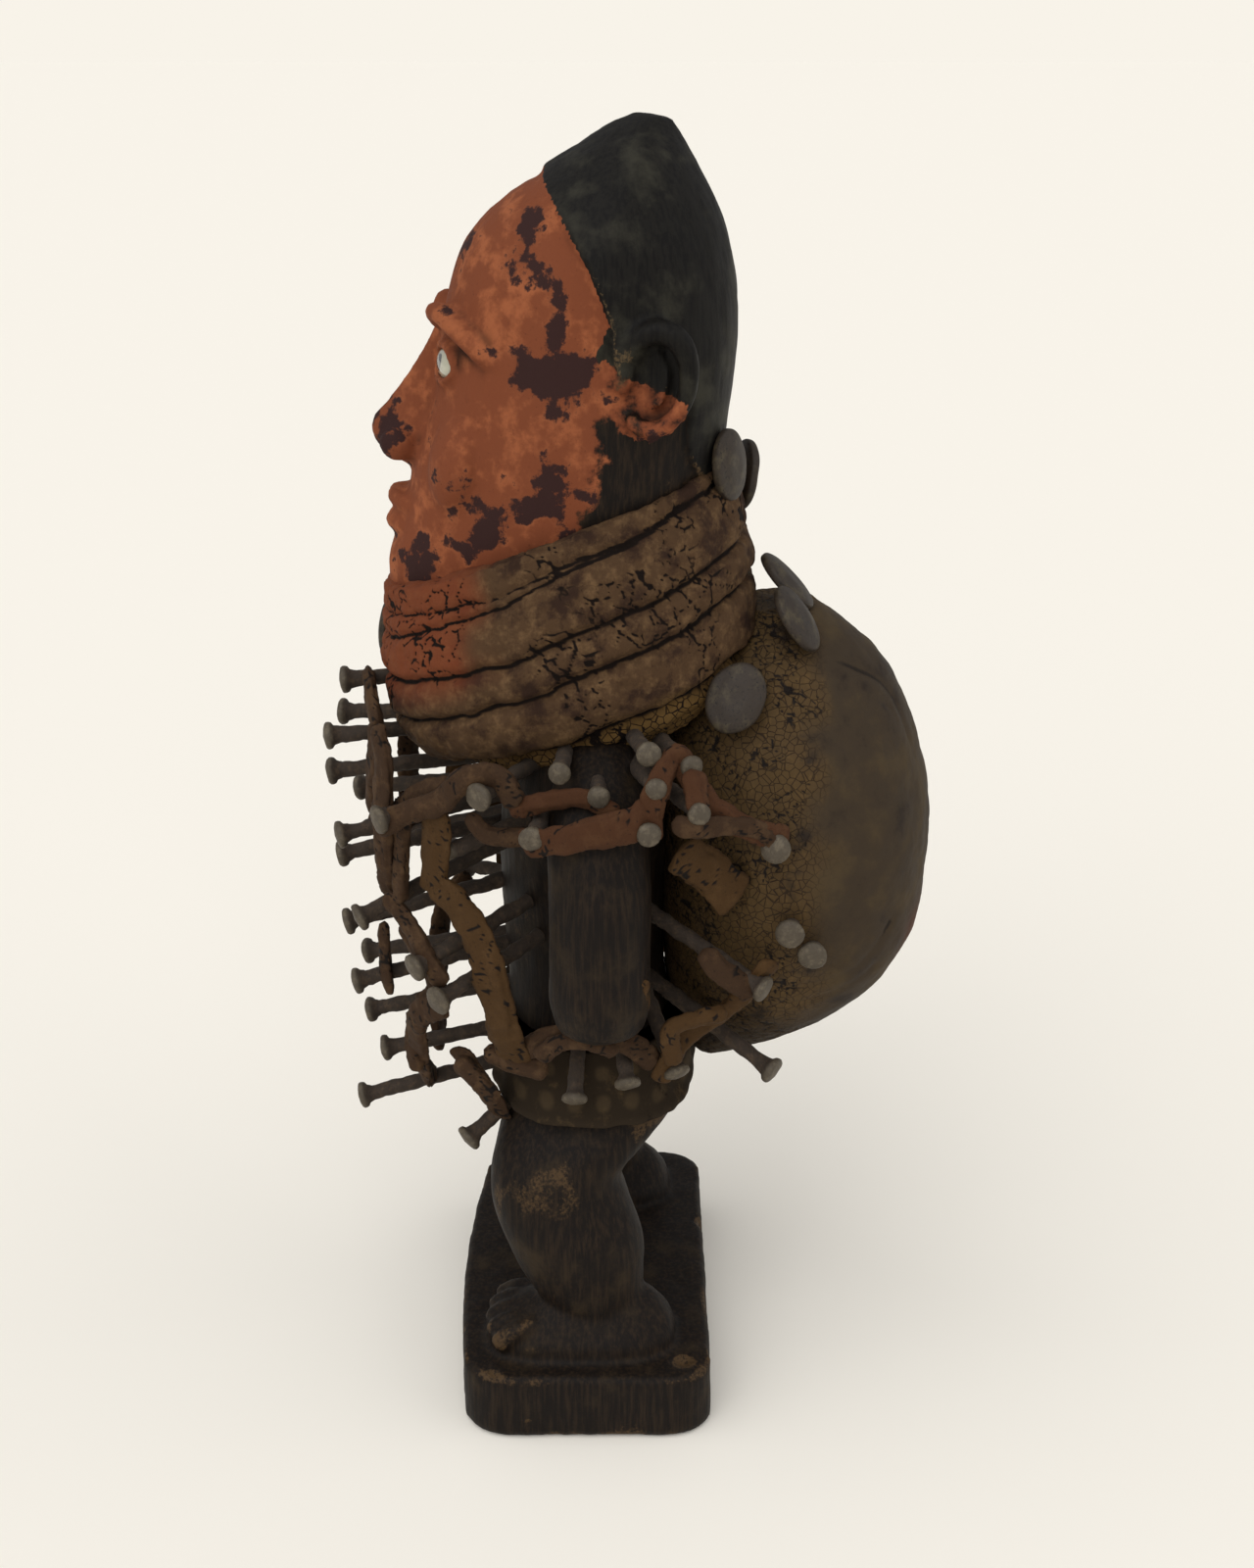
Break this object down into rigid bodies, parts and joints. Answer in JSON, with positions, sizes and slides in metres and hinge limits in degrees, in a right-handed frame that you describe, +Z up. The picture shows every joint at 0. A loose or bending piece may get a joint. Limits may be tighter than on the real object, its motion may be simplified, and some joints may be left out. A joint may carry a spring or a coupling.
{
  "type": "nkisi figure",
  "caption": "Standing carved wooden power figure with pointed coiffure, wrapped neck, round pack on its back, driven nails and hide strips, on a block base.",
  "frame": {"origin": "centre of the block base's underside", "axes": "+Z up through the figure, -Y the way it faces, +X towards the figure's own left"},
  "size_m": [0.1408, 0.1905, 0.3995],
  "materials": {
    "wood": "dark carved wood, satin with wear, the face painted in flaking red ochre",
    "glass": "clouded greenish-white glass over a dark pupil",
    "crust": "wrapped cloth under a cracked granular resin crust",
    "pack_hide": "hide under a crackled ochre coat",
    "cloth": "dark soiled woven cloth",
    "seed": "smooth dark grey seeds",
    "iron": "forged iron, rusted and worn grey on the heads",
    "hide": "dry twisted hide strips"
  },
  "bodies": {
    "root": {"back_pack": "pack_hide", "eye_left": "glass", "eye_right": "glass", "hip_cloth": "cloth", "nail_front_1": "iron", "nail_front_10": "iron", "nail_front_11": "iron", "nail_front_2": "iron", "nail_front_3": "iron", "nail_front_4": "iron", "nail_front_5": "iron", "nail_front_6": "iron", "nail_front_7": "iron", "nail_front_8": "iron", "nail_front_9": "iron", "nail_hip_1": "iron", "nail_hip_2": "iron", "nail_hip_3": "iron", "nail_hip_4": "iron", "nail_pack_1": "iron", "nail_pack_2": "iron", "nail_pack_3": "iron", "nail_pack_4": "iron", "nail_pack_5": "iron", "nail_shoulder_1": "iron", "nail_shoulder_2": "iron", "nail_shoulder_3": "iron", "nail_shoulder_4": "iron", "nail_shoulder_5": "iron", "nail_shoulder_6": "iron", "nail_shoulder_7": "iron", "nail_shoulder_8": "iron", "nail_side_1": "iron", "nail_side_2": "iron", "nail_side_3": "iron", "nail_side_4": "iron", "nail_spike": "iron", "neck_collar": "crust", "right_net_lower": "hide", "right_net_upper": "hide", "seed_disc_1": "seed", "seed_disc_2": "seed", "seed_disc_3": "seed", "seed_disc_4": "seed", "seed_disc_5": "seed", "seed_disc_6": "seed", "strip_arm": "hide", "strip_band": "hide", "strip_chest": "hide", "strip_crown": "hide", "strip_hip": "hide", "strip_hip_back": "hide", "strip_inner": "hide", "strip_low_front": "hide", "strip_low_side": "hide", "strip_ochre": "hide", "strip_shoulder_loop": "hide", "strip_side": "hide", "strip_slant": "hide", "wooden_figure": "wood"}
  },
  "joints": []
}
